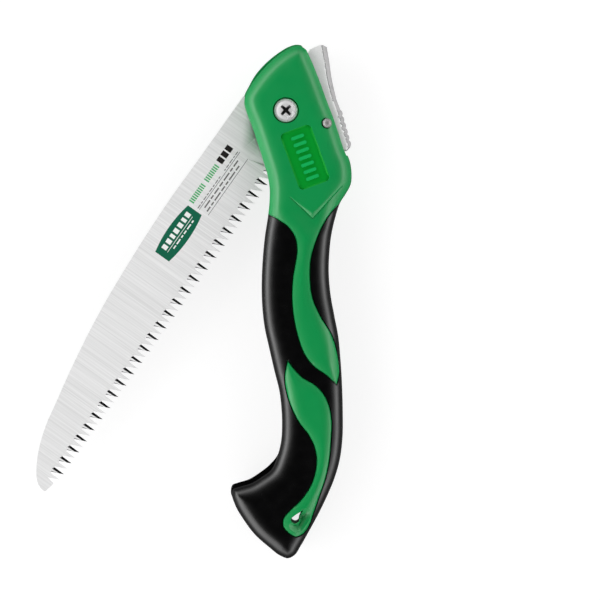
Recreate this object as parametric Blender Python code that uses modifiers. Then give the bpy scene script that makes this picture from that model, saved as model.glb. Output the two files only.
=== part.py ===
"""A folding pruning saw with a 250 mm curved-back blade, lying on its far side with the blade half open.

Two moulded shells with soft overmoulded grips hold the blade between them on a pivot bolt.
A sprung lock lever in the back of the head drops its tooth into a notch in the open blade's spine.

All sizes below are millimetres. X and Y are measured from the blade pivot, X to the right and Y up the
handle, and Z is measured from the flat face that the saw rests on. Three empties carry the frames:
handle_frame at the pivot, blade_axis on the blade's hinge and lever_axis on the lock lever's hinge.
"""

import math

import bmesh
import bpy
from mathutils import Matrix, Vector
from mathutils.geometry import delaunay_2d_cdt

MM = 0.001

# Driving dimensions
PIVOT_X, PIVOT_Y = 51.8, 106.45         # the pivot, from the centre of the whole saw's box
THICKNESS = 26.0                        # handle, over both shells
MID = THICKNESS / 2
RIM = 5.0                               # straight side wall of each half before it curves over
EDGE_WIDTH = 9.5                        # how far in from the outline the curved edge reaches
GAP = 0.3                               # between pieces that touch
SEAM = GAP / 2                          # each shell stops this far from the middle plane
SPARE = 1.0                             # how far solids run past a face before it is cut
BLADE_THICKNESS = 1.2
BLADE_BEARING = -125.2                  # direction of the blade from the pivot, degrees from +X
HEAD_BEARING = -69.8                    # direction down the back of the head, degrees from +X
SLOT_HALF = 2.0
BLADE_LENGTH = 253.0                    # pivot to tip
TOOTH_LINE = 15.5                       # tooth tips, from the line through the pivot
TOOTH_HEIGHT = 6.6
TOOTH_COUNT = 54
FIRST_TOOTH = 31.0
PITCH_AT_HANDLE, PITCH_AT_TIP = 4.25, 3.72
SPINE_LINE = -24.7
SKIN = 3.0                              # soft grip over the hard core
CORE_TOP = 3.6                          # core stops this far under the handle's face
LEVER_PIN_AT = (14.6, 19.1)             # along and across the head, from the pivot
LEVER_WIDTH = 12.0
LEVER_WALL = 1.6
POCKET_HALF = LEVER_WIDTH / 2 + 0.4
STOP_PIN_AT = (17.15, 2.3)
STOP_PIN_RADIUS = 2.0
SCREWS = [(27.0, -33.0), (18.5, -84.0), (20.0, -128.0), (18.0, -164.0), (20.5, -192.0)]
SPRING_AT = 25.2                        # along the head
BADGE_CENTRE, BADGE_SIZE = (28.3, 1.0), (33.5, 18.2)

# The handle's outline, clockwise from where the blade's spine leaves the head
NEAR_CROWN = [(-23, 8.5), (-20.3, 13.8), (-17.1, 18.3), (-12.1, 24.3), (-5.5, 30.6), (1.5, 35.3),
              (5.5, 36.8), (9, 36.6), (11.7, 34.8), (13.4, 31.5)]
FAR_CROWN = [(-23.6, 8.5), (-20.9, 14.6), (-17.2, 21), (-11.5, 27.5), (-4, 33.6), (1.6, 36.9),
             (5.5, 38.1), (9.2, 37.5), (11.9, 35.2), (13.4, 31.5)]
HEAD_BACK = [(17.5, 22), (22.5, 8.5), (28.5, -7.5), (33, -21.3), (35.7, -28), (37, -34.5), (36.2, -40.5),
             (33.2, -46.3)]
GRIP_BACK = [(30.5, -50.5), (27.4, -59.7), (25.3, -69), (24.1, -80), (23.8, -90), (24.7, -102), (27, -115),
             (29.1, -126), (30.3, -138), (31.3, -154), (31.7, -169), (31.5, -184), (30, -195.8),
             (27, -206.3), (22.5, -217), (17.6, -227), (12.7, -236), (7.8, -244.6)]
BUTT = [(4.6, -249.4), (1, -251), (-2.6, -249.8), (-9.6, -244.6), (-17.1, -238), (-23.7, -229.4),
        (-28.8, -220.4)]
NEAR_BEAK = [(-30.3, -215), (-29.6, -212.2), (-26.5, -211), (-19.6, -208.9), (-13.4, -205.2), (-8.4, -201.4)]
FAR_BEAK = [(-31.1, -213.3), (-30.2, -210.2), (-27.4, -209.1), (-20.8, -207), (-14.8, -203.3), (-9.4, -199)]
GRIP_FRONT = [(-4.6, -193), (-2.7, -185), (-2.2, -176), (-2.6, -166), (-3.6, -157.5), (-6.4, -146),
              (-9.5, -132.5), (-12.1, -120.5), (-13.4, -108), (-13.6, -95), (-13, -82.5), (-11.8, -70),
              (-9.9, -57.5)]
THROAT = [(-9.2, -50), (-9.2, -42.5), (-10.3, -36), (-12.9, -27.3), (-16, -17.5), (-19.2, -8), (-22, -1),
          (-23.3, 4)]

# Where the hard green shell shows: the head with its tapering tail, and an island lower down
TAIL_LEFT = [(-60, -57), (-10, -57.6), (-4, -61.2), (2, -65.8), (5.4, -71.5), (6.3, -77.7),
             (5.3, -85.6), (4, -93.5), (3.5, -105.4), (4.7, -117.2), (7.2, -127.7), (10.5, -136.3),
             (15.9, -143.2), (22.2, -147.6), (26, -151)]
TAIL_RIGHT = [(28.4, -153.3), (29.6, -148), (28.6, -136), (25.4, -125.2), (19.3, -115), (15, -105),
              (13.5, -93.5), (14.2, -82), (16.8, -73), (20.9, -63.7), (26.5, -55.4), (31.6, -50.1),
              (60, -30)]
ISLAND = [(1, -139.5), (4.5, -144.4), (9.4, -149.3), (16, -153.2), (20.9, -158.3), (24.1, -165),
          (25.5, -173), (25.2, -185), (24, -197), (21.7, -207), (18.5, -216.3), (15.3, -225.5),
          (12.5, -232.8), (9.4, -236.8), (6, -238.3), (2, -236.4), (-1.5, -232.2), (-1.5, -228.8),
          (2.6, -223.4), (7.7, -218.6), (12.6, -212.2), (16, -204), (17.2, -195.7), (16, -188), (12.7, -181.3),
          (7.7, -174.7), (3.6, -167), (0.7, -158.3), (-0.6, -150)]
LANYARD_HOLE = [(9.9, -223.2), (7.6, -227.6), (7.2, -229.6), (5.4, -230.9), (3.4, -230.2),
                (2.8, -228.2), (4.2, -226.8)]
LANYARD_DISH = [(8.6, -221.2), (13.4, -222.2), (13.4, -226.4), (9.2, -234.8), (6.2, -235.6), (1.8, -231.4),
                (1.6, -228.4)]

# The blade, from the line through the pivot to the tip (+X) and across it to the teeth (+Y)
ROOT_SPINE = [(-2, -21), (0.3, -24.6)]
SPINE_CURVE = [(50, -24.9), (78, -25.1), (105, -24.3), (125, -23.1), (145, -21.6), (164, -19.4),
               (183, -16.4), (207, -11.8), (225, -8.0), (236, -4), (246, 1.5), (250.5, 5.2),
               (BLADE_LENGTH - 0.2, 9.6), (BLADE_LENGTH, 12.4), (246.6, 13.8)]
NOTCH_AT, NOTCH_HALF, NOTCH_FLOOR = 4.2, 2.2, -22.4
ROOT_RADIUS = 15.0
HEEL_RADIUS = 19.0

# The lock lever's side view, along the head (+X) and out of its back (+Y), from the lever's pin
LEVER_BACK = [(-42.5, 5.6), (-42.2, 13.2), (-40.6, 14.9), (-33.6, 13.6), (-22.6, 11.3),
              (-11.2, 9.8)]
LEVER_PAD_END = (16.4, 8.2)
LEVER_RIBS = 6
RIB_HEIGHT = 0.7
LEVER_INSIDE = [(17.6, 5.4), (16.6, 3.0), (6.6, 2.6), (4.2, -2.8), (0, -4.6),
                (-4.2, -2.8), (-6.4, 3.0), (-40.5, 3.4)]
LOCK_TOOTH = [(-19.3, 10), (-17.3, 10), (-17.3, 4.3), (-19.3, 4.3)]

# Colours: base colour, metallic, roughness
GREEN = ((0.004, 0.28, 0.065, 1), 0.0, 0.38)
BLACK = ((0.006, 0.006, 0.006, 1), 0.0, 0.55)
STEEL = ((0.80, 0.80, 0.80, 1), 1.0, 0.35)
CHROME = ((0.85, 0.85, 0.86, 1), 1.0, 0.12)
ALLOY = ((0.62, 0.62, 0.63, 1), 0.9, 0.4)
BRASS = ((0.70, 0.50, 0.18, 1), 1.0, 0.35)
BRONZE = ((0.60, 0.36, 0.16, 1), 1.0, 0.4)


def clear_scene():
    for old in list(bpy.data.objects):
        bpy.data.objects.remove(old)


def collection(name):
    made = bpy.data.collections.new(name)
    bpy.context.scene.collection.children.link(made)
    return made


def frame_empty(name, x, y, bearing, parent=None):
    """An empty at a point in millimetres, turned about Z, that pieces are parented to."""
    empty = bpy.data.objects.new(name, None)
    PARTS.objects.link(empty)
    empty.location = (x * MM, y * MM, 0)
    empty.rotation_euler.z = math.radians(bearing)
    empty.parent = parent
    return empty


def material(name, look):
    colour, metallic, roughness = look
    made = bpy.data.materials.new(name)
    made.use_nodes = True
    shader = made.node_tree.nodes["Principled BSDF"]
    shader.inputs["Base Color"].default_value = colour
    shader.inputs["Metallic"].default_value = metallic
    shader.inputs["Roughness"].default_value = roughness
    made.diffuse_color = colour
    return made


def finish(piece, look, frame):
    """Makes an object a part of the saw: its material, and the frame that it moves with."""
    piece.data.materials.append(material(piece.name, look))
    piece.parent = frame
    piece.data.set_sharp_from_angle(angle=math.radians(35))
    return piece


def cutter(piece, frame):
    """Turns an object into a tool that others are cut with."""
    PARTS.objects.unlink(piece)
    CUTTERS.objects.link(piece)
    piece.parent = frame
    piece.hide_render = True
    piece.display_type = "WIRE"
    return piece


def combine(piece, tools, operation="DIFFERENCE"):
    """Adds one Boolean with one or more tools, which stays on the object."""
    group = bpy.data.collections.new(f"{piece.name}_{operation.lower()}")
    CUTTERS.children.link(group)
    for tool in tools:
        group.objects.link(tool)
    boolean = piece.modifiers.new(operation.lower(), "BOOLEAN")
    boolean.operation = operation
    boolean.solver = "EXACT"
    boolean.operand_type = "COLLECTION"
    boolean.collection = group


def new_mesh_object(name, bm):
    bmesh.ops.recalc_face_normals(bm, faces=bm.faces)
    mesh = bpy.data.meshes.new(name)
    bm.to_mesh(mesh)
    bm.free()
    made = bpy.data.objects.new(name, mesh)
    PARTS.objects.link(made)
    return made


def outline(points):
    return [Vector(p) for p in points]


def circle(radius, segments=24):
    return [Vector((math.cos(a), math.sin(a))) * radius
            for a in (2 * math.pi * k / segments for k in range(segments))]


def plate(name, line, low, high, grow=0.0, hole=None):
    """A flat piece with a closed outline, from one height to another, its outline moved out by grow."""
    curve = bpy.data.curves.new(name, "CURVE")
    curve.dimensions = "2D"
    curve.fill_mode = "BOTH"
    curve.extrude = (high - low) / 2 * MM
    curve.offset = grow * MM
    for ring in filter(None, (line, hole)):
        spline = curve.splines.new("POLY")
        spline.points.add(len(ring) - 1)
        for point, spot in zip(spline.points, ring):
            point.co = (spot.x * MM, spot.y * MM, 0, 1)
        spline.use_cyclic_u = True
    flat = bpy.data.objects.new(name, curve)
    PARTS.objects.link(flat)
    bpy.context.view_layer.update()
    mesh = bpy.data.meshes.new_from_object(flat.evaluated_get(bpy.context.evaluated_depsgraph_get()))
    bpy.data.objects.remove(flat)
    bm = bmesh.new()
    bm.from_mesh(mesh)
    bpy.data.meshes.remove(mesh)
    bmesh.ops.remove_doubles(bm, verts=bm.verts, dist=1e-6)
    if not hole:
        for up in (1, -1):
            bmesh.ops.dissolve_faces(bm, faces=[f for f in bm.faces if f.normal.z * up > 0.99])
    bmesh.ops.translate(bm, verts=bm.verts, vec=(0, 0, (low + high) / 2 * MM))
    return new_mesh_object(name, bm)


def turned(name, profile, x=0.0, y=0.0, segments=24):
    """A round piece about a vertical axis: its outline in (radius, height), down the outside."""
    mesh = bpy.data.meshes.new(name)
    loop = profile[0][0] > 0
    edges = [(i, i + 1) for i in range(len(profile) - 1)] + ([(len(profile) - 1, 0)] if loop else [])
    mesh.from_pydata([(r * MM, 0, z * MM) for r, z in profile], edges, [])
    made = bpy.data.objects.new(name, mesh)
    PARTS.objects.link(made)
    made.location = (x * MM, y * MM, 0)
    screw = made.modifiers.new("turn", "SCREW")
    screw.steps = screw.render_steps = segments
    screw.use_merge_vertices = True
    screw.merge_threshold = 0.00001
    screw.use_smooth_shade = True
    return made


def drill(name, x, y, radius, low, high, frame, segments=24):
    """A cutter for a round hole."""
    bm = bmesh.new()
    bmesh.ops.create_cone(bm, cap_ends=True, segments=segments, radius1=radius * MM, radius2=radius * MM,
                          depth=(high - low) * MM)
    tool = new_mesh_object(name, bm)
    tool.location = (x * MM, y * MM, (low + high) / 2 * MM)
    return cutter(tool, frame)


def distance_in(line, spot):
    """How far a point is from the outline."""
    best = math.inf
    for i, end in enumerate(line):
        start = line[i - 1]
        along = end - start
        t = max(0.0, min(1.0, (spot - start).dot(along) / along.length_squared))
        best = min(best, (start + along * t - spot).length)
    return best


def is_inside(line, spot):
    inside = False
    for i, b in enumerate(line):
        a = line[i - 1]
        if (a.y > spot.y) != (b.y > spot.y) and spot.x < (b.x - a.x) * (spot.y - a.y) / (b.y - a.y) + a.x:
            inside = not inside
    return inside


def face_points(line, depths, spacing):
    """Points that carry a curved face: rings at each depth in from the outline, and a coarse grid."""
    kept = []
    for depth in depths:
        ring = []
        for i, spot in enumerate(line):
            ahead, behind = line[(i + 1) % len(line)], line[i - 1]
            along = (ahead - behind).normalized()
            for side in (Vector((along.y, -along.x)), Vector((-along.y, along.x))):
                moved = spot + side * depth
                if not is_inside(line, moved) or distance_in(line, moved) < depth * 0.97:
                    continue
                if all((moved - other).length > depth * 0.4 + 0.8 for other in ring):
                    ring.append(moved)
        kept += ring
    low = Vector((min(p.x for p in line), min(p.y for p in line)))
    high = Vector((max(p.x for p in line), max(p.y for p in line)))
    for row in range(int((high.y - low.y) / spacing) + 1):
        for column in range(int((high.x - low.x) / spacing) + 1):
            spot = low + Vector((column + 0.5 * (row % 2), row)) * spacing
            if is_inside(line, spot) and distance_in(line, spot) > depths[-1] + spacing * 0.4:
                kept.append(spot)
    return kept


def domed_half(name, line, up):
    """One half of the handle: flat at the middle plane, straight at the side, curved over to its face."""
    depths = [EDGE_WIDTH * share for share in (0.18, 0.5, 1.0)]
    spots = list(line) + face_points(line, depths, 14.0)
    edges = [(i, (i + 1) % len(line)) for i in range(len(line))]
    verts, _, faces, origin, _, _ = delaunay_2d_cdt(spots, edges, [], 1, 1e-5)
    rise = MID - RIM
    bm = bmesh.new()
    tops = []
    for spot, source in zip(verts, origin):
        on_rim = any(k < len(line) for k in source)
        depth = 0.0 if on_rim else min(distance_in(line, spot) / EDGE_WIDTH, 1.0)
        height = RIM + rise * math.sqrt(1 - (1 - depth) ** 2)
        tops.append(bm.verts.new((spot.x * MM, spot.y * MM, (MID + up * height) * MM)))
    for face in faces:
        if is_inside(line, sum((verts[k] for k in face), Vector((0, 0))) / len(face)):
            bm.faces.new([tops[k] for k in face])
    rim = [e for e in bm.edges if e.is_boundary]
    walls = bmesh.ops.extrude_edge_only(bm, edges=rim)["geom"]
    for vert in [g for g in walls if isinstance(g, bmesh.types.BMVert)]:
        vert.co.z = (MID - up * SPARE) * MM
    bmesh.ops.contextual_create(bm, geom=[e for e in bm.edges if e.is_boundary])
    loose = [v for v in bm.verts if not v.link_faces]
    bmesh.ops.delete(bm, geom=loose, context="VERTS")
    return new_mesh_object(name, bm)


def handle_outline(crown, beak):
    return outline(crown + HEAD_BACK + GRIP_BACK + BUTT + beak + GRIP_FRONT + THROAT)


def both_sides(up, near, far):
    """Heights from near to far above the middle plane, on the near (+1) or the far (-1) side."""
    return (MID + near, MID + far) if up > 0 else (MID - far, MID - near)


def green_prisms(name, up, grow):
    """The areas where hard shell shows through the grip, as tall prisms."""
    low, high = both_sides(up, -2 * SPARE, 20)
    head = plate(name, outline(TAIL_LEFT + TAIL_RIGHT + [(60, 60), (-60, 60)]), low, high, grow)
    combine(head, [cutter(plate(name + "_island", outline(ISLAND), low, high, grow), HANDLE)], "UNION")
    return cutter(head, HANDLE)


def seam_cutter(name, up):
    """Cuts a half flat, just clear of the middle plane."""
    edge = outline([(-90, -270), (90, -270), (90, 60), (-90, 60)])
    return cutter(plate(name, edge, *both_sides(up, -5, SEAM)), HANDLE)


def slot_cutter():
    """The space that the blade swings through."""
    edge = [(-60, 60), (50, 60), (58, 12), (20.6, 2.6), (20.7, -4), (18.6, -18), (17.2, -31), (4.9, -251),
            (3.4, -262), (-60, -262)]
    return cutter(plate("slot_cutter", outline(edge), MID - SLOT_HALF, MID + SLOT_HALF), HANDLE)


def lever_pocket_cutter():
    """Room in the back of the head for the lock lever and its travel."""
    edge = [(-46, 21.2), (6.4, 21.2), (9, 13.6), (20.4, 13.6), (23.2, 19.4), (35, 19.4), (36, 45), (-46, 45)]
    pocket = plate("lever_pocket_cutter", outline(edge), MID - POCKET_HALF, MID + POCKET_HALF)
    return cutter(pocket, HEAD)


def spring_pocket_cutter():
    """A blind hole for the lever's spring, across the head under the lever's tail."""
    pocket = turned("spring_pocket_cutter", [(0, 22), (3.4, 22), (3.4, 11.4), (0, 11.4)])
    pocket.location = (SPRING_AT * MM, 0, MID * MM)
    pocket.rotation_euler.x = math.radians(-90)
    return cutter(pocket, HEAD)


def rounded_rectangle(centre, size, corner, steps=3):
    """A rectangle with round corners, its long side along X."""
    line = []
    for quarter in range(4):
        sx, sy = ((1, 1), (-1, 1), (-1, -1), (1, -1))[quarter]
        middle = Vector((centre[0] + sx * (size[0] / 2 - corner), centre[1] + sy * (size[1] / 2 - corner)))
        for k in range(steps + 1):
            angle = math.radians(90 * (quarter + k / steps))
            line.append(middle + Vector((math.cos(angle), math.sin(angle))) * corner)
    return line


def cross_recess(name, x, y, face, reach, depth, up, frame):
    """A cutter for a cross-shaped driver recess, in a head that faces up (+1) or down (-1)."""
    arms = []
    for turn in (45, 135):
        low, high = sorted((face - up * depth, face + up))
        half = Vector((reach, reach * 0.17))
        line = [Vector((sx * half.x, sy * half.y)) for sx, sy in ((1, 1), (-1, 1), (-1, -1), (1, -1))]
        arm = plate(f"{name}_{turn}", line, low, high)
        arm.location = (x * MM, y * MM, 0)
        arm.rotation_euler.z = math.radians(turn)
        arms.append(cutter(arm, frame))
    combine(arms[0], arms[1:], "UNION")
    return arms[0]


def lanyard_cutters(up):
    """The teardrop hole for a lanyard, and the dish round it."""
    hole = plate("lanyard_cutter", outline(LANYARD_HOLE), -5, THICKNESS + 5)
    dish = plate("dish_cutter", outline(LANYARD_DISH), *both_sides(up, MID - 1.2, 20))
    return [cutter(hole, HANDLE), cutter(dish, HANDLE)]


def screw_sinks():
    return [drill("screw_sink", x, y, 3.2, *both_sides(-1, 8.9, 20), HANDLE, 16) for x, y in SCREWS]


def shell_bores(side, up):
    """Holes for the pivot, the lever's pin, the stop pin and the five screws."""
    radius, depth = (2.9, 7.4) if up > 0 else (1.8, 20)
    bores = [drill(f"{side}_pivot_sink", 0, 0, 7.3, *both_sides(up, 8.4, 20), HANDLE, 32),
             drill(f"{side}_pivot_bore", 0, 0, 3.4 if up > 0 else 4.3, *both_sides(up, -2, 20), HANDLE),
             drill(f"{side}_pin_sink", *LEVER_PIN_AT, 3.2, *both_sides(up, 11.2, 20), HEAD, 16),
             drill(f"{side}_pin_bore", *LEVER_PIN_AT, 2.3, *both_sides(up, -2, 20), HEAD, 16),
             drill(f"{side}_stop_bore", *STOP_PIN_AT, STOP_PIN_RADIUS + GAP, *both_sides(up, -2, 5.3), HANDLE, 16)]
    for x, y in SCREWS:
        bores.append(drill(f"{side}_screw_bore", x, y, radius, *both_sides(up, -2, depth), HANDLE, 12))
    return bores


def make_shell(side, up, line, spaces):
    """A hard shell: the head, the core under the grip, and the raised areas that show through it."""
    shell = domed_half(f"{side}_shell", line, up)
    combine(shell, [green_prisms(f"{side}_green", up, 0.0)], "INTERSECT")
    core = plate(f"{side}_core", line, *both_sides(up, -SPARE / 2, MID - CORE_TOP), -SKIN)
    combine(shell, [cutter(core, HANDLE)], "UNION")
    tools = [seam_cutter(f"{side}_seam", up), *spaces, *shell_bores(side, up), *lanyard_cutters(up)]
    if up > 0:
        badge = plate("badge_cutter", rounded_rectangle(BADGE_CENTRE, BADGE_SIZE, 2.2), THICKNESS - 0.6, 40)
        tools.append(cutter(badge, HEAD))
    else:
        tools += screw_sinks()
    combine(shell, tools)
    finish(shell, GREEN, HANDLE)


def make_grip(side, up, line, slot):
    """The soft overmould: a skin round the core, open where the hard shell shows."""
    grip = domed_half(f"{side}_grip", line, up)
    core = plate(f"{side}_core_space", line, *both_sides(up, -3, MID - CORE_TOP + GAP), -SKIN + GAP)
    window = green_prisms(f"{side}_window", up, GAP)
    tools = [window, cutter(core, HANDLE), seam_cutter(f"{side}_grip_seam", up), slot]
    combine(grip, tools + (screw_sinks() if up < 0 else []))
    finish(grip, BLACK, HANDLE)


def blade_outline():
    """The blade: pivot root, spine with its lock notch, curved back, tip and teeth."""
    line = [Vector((math.cos(a), math.sin(a))) * ROOT_RADIUS
            for a in (math.radians(93 + 171 * k / 16) for k in range(17))]
    line += outline(ROOT_SPINE)
    line += [Vector((NOTCH_AT - NOTCH_HALF, SPINE_LINE)), Vector((NOTCH_AT - NOTCH_HALF, NOTCH_FLOOR)),
             Vector((NOTCH_AT + NOTCH_HALF, NOTCH_FLOOR)), Vector((NOTCH_AT + NOTCH_HALF, SPINE_LINE))]
    line += outline(SPINE_CURVE)
    line += tooth_line()
    line += [Vector((22, TOOTH_LINE - 1.0)), Vector((8, 17.4)), Vector((2.4, HEEL_RADIUS - 0.3)),
             Vector((-1.0, HEEL_RADIUS))]
    return line


def tooth_places():
    """Where each tooth's tip is along the blade: the pitch closes up evenly towards the tip."""
    places, at = [], FIRST_TOOTH
    for k in range(TOOTH_COUNT):
        places.append(at)
        at += PITCH_AT_HANDLE + (PITCH_AT_TIP - PITCH_AT_HANDLE) * k / (TOOTH_COUNT - 1)
    return places


def tooth_line():
    """Teeth from the tip back to the handle, each with its upright flank towards the handle."""
    gullet = TOOTH_LINE - TOOTH_HEIGHT
    line = []
    for k, at in reversed(list(enumerate(tooth_places()))):
        base = 3.35 - 0.4 * k / TOOTH_COUNT
        line += [Vector((at + base, gullet)), Vector((at + 0.1, TOOTH_LINE)), Vector((at - 0.1, gullet))]
    return line


def make_blade():
    half = BLADE_THICKNESS / 2
    finish(plate("blade", blade_outline(), MID - half, MID + half, hole=circle(5.3)), STEEL, BLADE)


def lever_outline():
    """The lever seen from the side: nose, hollow back, ribbed thumb pad, tail and pin ear."""
    line = outline(LEVER_BACK + [(-4.8, 9.9)] + [LEVER_PAD_END] + LEVER_INSIDE)
    start, end = Vector((-4.8, 9.9)), Vector(LEVER_PAD_END)
    at = line.index(start)
    ribs = []
    for k in range(LEVER_RIBS):
        foot, top = start.lerp(end, k / LEVER_RIBS), start.lerp(end, (k + 0.35) / LEVER_RIBS)
        far, last = start.lerp(end, (k + 0.65) / LEVER_RIBS), start.lerp(end, (k + 0.95) / LEVER_RIBS)
        lift = Vector((0, RIB_HEIGHT))
        ribs += [foot, top + lift, far + lift, last]
    return line[:at] + ribs + line[at + 1:]


def make_lever():
    half = LEVER_WIDTH / 2
    lever = plate("lock_lever", lever_outline(), MID - half, MID + half)
    bevel = lever.modifiers.new("rounded_back", "BEVEL")
    bevel.width = 0.6 * MM
    bevel.segments = 1
    bevel.limit_method = "ANGLE"
    bevel.angle_limit = math.radians(70)
    inner = half - LEVER_WALL
    channel = [(-44, -8), (-44, 6), (-40.4, 6), (-40.4, 11.6), (-33.4, 11.6), (-22.4, 9.3), (-11, 7.8),
               (14, 6.2), (14, -8)]
    combine(lever, [cutter(plate("channel_cutter", outline(channel), MID - inner, MID + inner), LEVER)])
    tooth = plate("lock_tooth", outline(LOCK_TOOTH), MID - inner - 0.5, MID + inner + 0.5)
    combine(lever, [cutter(tooth, LEVER)], "UNION")
    combine(lever, [drill("lever_bore", 0, 0, 2.3, 0, THICKNESS, LEVER, 16)])
    finish(lever, ALLOY, LEVER)


def make_lever_pin():
    top = THICKNESS + 0.6
    profile = [(0, top), (1.2, top - 0.15), (2.2, top - 0.7), (2.75, top - 1.7), (2.75, top - 2.1), (2, top - 2.1),
               (2, 1.6), (2.9, 1.6), (2.9, 0.8), (2.4, 0.5), (0, 0.5)]
    return finish(turned("lever_pin", profile, *LEVER_PIN_AT, 24), CHROME, HEAD)


def make_lever_spring():
    """A compression coil across the head, between its pocket and the lever's tail."""
    turns, per_turn = 5.5, 12
    low, high, radius, wire = 12.2, 24.6, 2.5, 0.4
    curve = bpy.data.curves.new("lever_spring", "CURVE")
    curve.dimensions = "3D"
    curve.bevel_depth = wire * MM
    curve.bevel_resolution = 1
    curve.use_fill_caps = True
    spline = curve.splines.new("POLY")
    count = int(turns * per_turn) + 1
    spline.points.add(count - 1)
    for k, point in enumerate(spline.points):
        angle = 2 * math.pi * k / per_turn
        rise = low + (high - low) * k / (count - 1)
        point.co = (radius * MM * math.cos(angle), rise * MM, radius * MM * math.sin(angle), 1)
    coil = bpy.data.objects.new("lever_spring", curve)
    PARTS.objects.link(coil)
    coil.location = (SPRING_AT * MM, 0, MID * MM)
    coil.data.materials.append(material("lever_spring", STEEL))
    coil.parent = HEAD
    return coil


def make_pivot():
    """The bolt, its nut and washers, and the bush that the blade turns on."""
    top = THICKNESS + 0.5
    bolt = turned("pivot_bolt", [(0, top), (3.2, top - 0.1), (5.6, top - 0.6), (6.5, top - 1.4), (6.7, top - 2.2),
                                 (6.7, top - 4), (3, top - 4), (3, 5), (0, 5)], segments=32)
    combine(bolt, [cross_recess("bolt_recess", 0, 0, top, 4.6, 1.8, 1, HANDLE)])
    finish(bolt, CHROME, HANDLE)
    nut = turned("pivot_nut", [(3.3, 10.7), (4, 10.7), (4, 3.6), (6.9, 3.6), (6.9, 1.4), (6.2, 0.7), (3.3, 0.7)],
                 segments=32)
    finish(nut, CHROME, HANDLE)
    ring = turned("spring_washer", [(3.4, 22.2), (6.3, 22.2), (6.3, 21.7), (3.4, 21.7)])
    finish(ring, STEEL, HANDLE)
    bush = turned("pivot_bush", [(3.3, MID + 1.7), (5, MID + 1.7), (5, MID - 1.7), (3.3, MID - 1.7)])
    finish(bush, BRONZE, HANDLE)
    for side, up in (("near", 1), ("far", -1)):
        low, high = both_sides(up, BLADE_THICKNESS / 2 + GAP, SLOT_HALF - GAP)
        washer = turned(f"{side}_washer", [(5.3, high), (9, high), (9, low), (5.3, low)])
        finish(washer, BRONZE, HANDLE)


def make_stop_pin():
    pin = turned("blade_stop_pin", [(0, MID + 5), (STOP_PIN_RADIUS, MID + 5), (STOP_PIN_RADIUS, MID - 5),
                                    (0, MID - 5)], *STOP_PIN_AT, 16)
    finish(pin, STEEL, HANDLE)


def make_screws():
    """Machine screws from the far side into brass inserts in the near shell."""
    for k, (x, y) in enumerate(SCREWS, 1):
        screw = turned(f"handle_screw_{k}", [(0, MID + 5.5), (1.5, MID + 5.5), (1.5, 3.8), (2.8, 3.8), (2.8, 2.4),
                                             (2.2, 1.9), (0, 1.9)], x, y, 16)
        combine(screw, [cross_recess(f"screw_recess_{k}", x, y, 1.9, 2.0, 0.9, -1, HANDLE)])
        finish(screw, CHROME, HANDLE)
        insert = turned(f"threaded_insert_{k}", [(1.8, MID + 6.5), (2.6, MID + 6.5), (2.6, MID + 0.6),
                                                 (1.8, MID + 0.6)], x, y, 16)
        finish(insert, BRASS, HANDLE)


clear_scene()
PARTS = collection("folding_pruning_saw")
CUTTERS = collection("cutters")
HANDLE = frame_empty("handle_frame", PIVOT_X, PIVOT_Y, 0)
HEAD = frame_empty("head_frame", 0, 0, HEAD_BEARING, HANDLE)
BLADE = frame_empty("blade_axis", 0, 0, BLADE_BEARING, HANDLE)
LEVER = frame_empty("lever_axis", *LEVER_PIN_AT, 0, HEAD)

slot = slot_cutter()
spaces = [slot, lever_pocket_cutter(), spring_pocket_cutter()]
for side, up, line in (("near", 1, handle_outline(NEAR_CROWN, NEAR_BEAK)),
                       ("far", -1, handle_outline(FAR_CROWN, FAR_BEAK))):
    make_shell(side, up, line, spaces)
    make_grip(side, up, line, slot)
make_blade()
make_lever()
make_lever_pin()
make_lever_spring()
make_pivot()
make_stop_pin()
make_screws()
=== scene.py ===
"""Looks for the folding pruning saw: fine surfaces, materials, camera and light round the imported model.

Lengths are millimetres from the blade pivot, and become metres in the row frame when a mesh is made.
"""

import math

import bmesh
import bpy
import numpy as np
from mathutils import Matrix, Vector
from mathutils.geometry import delaunay_2d_cdt


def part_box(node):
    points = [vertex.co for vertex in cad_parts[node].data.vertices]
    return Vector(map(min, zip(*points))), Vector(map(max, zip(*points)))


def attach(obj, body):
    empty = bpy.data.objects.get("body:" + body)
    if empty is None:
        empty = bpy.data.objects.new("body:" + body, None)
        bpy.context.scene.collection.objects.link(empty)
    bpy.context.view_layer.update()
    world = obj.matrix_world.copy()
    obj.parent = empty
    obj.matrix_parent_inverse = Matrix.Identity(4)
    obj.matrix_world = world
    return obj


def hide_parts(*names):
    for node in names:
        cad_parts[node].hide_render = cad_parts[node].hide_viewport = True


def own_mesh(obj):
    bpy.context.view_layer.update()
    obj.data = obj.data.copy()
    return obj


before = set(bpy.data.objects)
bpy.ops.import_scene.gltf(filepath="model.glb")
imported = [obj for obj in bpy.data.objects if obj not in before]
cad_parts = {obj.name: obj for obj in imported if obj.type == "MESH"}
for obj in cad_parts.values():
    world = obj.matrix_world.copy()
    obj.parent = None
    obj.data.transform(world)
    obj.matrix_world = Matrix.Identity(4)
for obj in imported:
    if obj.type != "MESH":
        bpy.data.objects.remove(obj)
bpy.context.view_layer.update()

MM = 0.001
SHARP = True                        # marks an outline point that is a corner
pivot_box, pin_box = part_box("pivot_bolt"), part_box("lever_pin")
PIVOT = (pivot_box[0] + pivot_box[1]) / 2
PIVOT.z = 0
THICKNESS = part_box("near_shell")[1].z / MM
MID = THICKNESS / 2
HEAD_BEARING, BLADE_BEARING = -69.8, -125.2      # degrees from +X to the head's and the blade's own X
RIM, EDGE_WIDTH = 5.0, 10.5         # a half's height at its edge, and how far in from there it swells
RISE = MID - RIM
SEAM = 0.08                         # each half stops this far from the middle plane
SEAM_CHAMFER = (0.35, 0.3)          # its height and its inset
SLOT_HALF = 2.0                     # half the width of the slot that the blade folds into


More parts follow.
